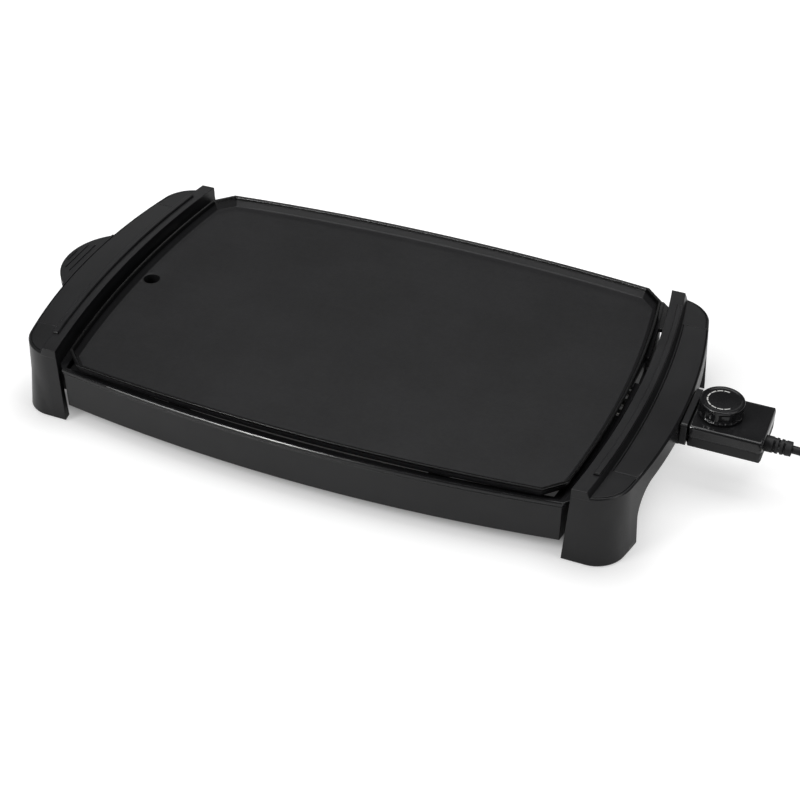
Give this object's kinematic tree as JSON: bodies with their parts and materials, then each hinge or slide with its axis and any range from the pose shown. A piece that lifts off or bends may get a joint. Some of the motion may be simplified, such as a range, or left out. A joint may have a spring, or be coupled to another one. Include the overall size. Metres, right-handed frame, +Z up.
{
  "type": "electric griddle",
  "caption": "Rectangular black griddle plate with a rim on a low base between two arched handle-legs, with a pull-out drip tray, a plug-in dial controller and a coiled cord.",
  "frame": {"origin": "centre of the bounding box without the cord, on the floor under the feet", "axes": "+X from the plate towards the controller, +Y to the back, +Z up"},
  "size_m": [0.8374, 0.3364, 0.0796],
  "materials": {
    "plate": "black non-stick coating on a cast plate, satin",
    "element_sheath": "oxidised steel sheath",
    "pin_steel": "nickel-plated, turned",
    "ceramic": "unglazed ceramic",
    "steel_strip": "zinc-plated strip",
    "screw_steel": "zinc-plated",
    "reflector_sheet": "bright mill finish",
    "base_plastic": "black phenolic moulding, semi-gloss",
    "handle_plastic": "black phenolic moulding, fine grain",
    "panel_plastic": "black moulding, satin",
    "bar_plastic": "black, polished",
    "guard_plastic": "black phenolic moulding",
    "foot_rubber": "moulded rubber",
    "rail_steel": "zinc-plated sheet",
    "tray_plastic": "black moulding, fine grain",
    "housing_gloss": "black, polished",
    "housing_matt": "black, fine grain",
    "probe_steel": "drawn stainless tube",
    "ferrule_brass": "nickel-plated brass",
    "contact_brass": "turned brass",
    "switch_plastic": "brown phenolic",
    "bimetal": "rolled strip",
    "wire_sleeve": "glass-braid sleeve",
    "clamp_plastic": "nylon",
    "relief_rubber": "moulded, satin",
    "knob_plastic": "black, satin, white printed ring",
    "spindle_brass": "turned",
    "cord_rubber": "black sheath, satin",
    "tie_plastic": "nylon strip",
    "plug_rubber": "moulded, satin",
    "blade_brass": "nickel-free brass blades"
  },
  "bodies": {
    "griddle": {"griddle_plate": "plate", "heating_element": "element_sheath", "terminal_pins": "pin_steel", "terminal_insulators": "ceramic", "element_clamps": "steel_strip", "clamp_screws": "screw_steel", "heat_reflector": "reflector_sheet", "reflector_screws": "screw_steel", "base_frame": "base_plastic", "plate_brackets": "steel_strip", "plate_screws": "screw_steel", "bracket_screws": "screw_steel", "left_handle": "handle_plastic", "right_handle": "handle_plastic", "handle_screws": "screw_steel", "left_grip_cover": "panel_plastic", "right_grip_cover": "panel_plastic", "cover_screws": "screw_steel", "left_ridge_bar": "bar_plastic", "right_ridge_bar": "bar_plastic", "terminal_guard": "guard_plastic", "guard_screws": "screw_steel", "rubber_feet": "foot_rubber", "tray_rails": "rail_steel", "rail_screws": "screw_steel"},
    "tray": {"drip_tray": "tray_plastic"},
    "controller": {"housing_top": "housing_gloss", "housing_bottom": "housing_matt", "housing_screws": "screw_steel", "probe_tube": "probe_steel", "probe_ferrule": "ferrule_brass", "contact_sleeves": "contact_brass", "contact_block": "ceramic", "thermostat_base": "switch_plastic", "bimetal_leaf": "bimetal", "inner_wires": "wire_sleeve", "cord_clamp": "clamp_plastic", "strain_relief": "relief_rubber", "power_cord": "cord_rubber", "cord_coil": "cord_rubber", "cord_tie": "tie_plastic", "plug_body": "plug_rubber", "plug_pins": "blade_brass"},
    "knob": {"control_knob": "knob_plastic", "knob_spindle": "spindle_brass"}
  },
  "joints": [
    {"name": "tray_slide", "type": "slide", "parent": "griddle", "child": "tray", "axis": [-1, 0, 0], "range_m": [0, 0.095]},
    {"name": "controller_plug", "type": "slide", "parent": "griddle", "child": "controller", "axis": [1, 0, 0], "range_m": [0, 0.11]},
    {"name": "knob_turn", "type": "hinge", "parent": "controller", "child": "knob", "pos_m": [0.28375, 0, 0.065], "axis": [0, 0, -1], "range_deg": [0, 270]}
  ]
}
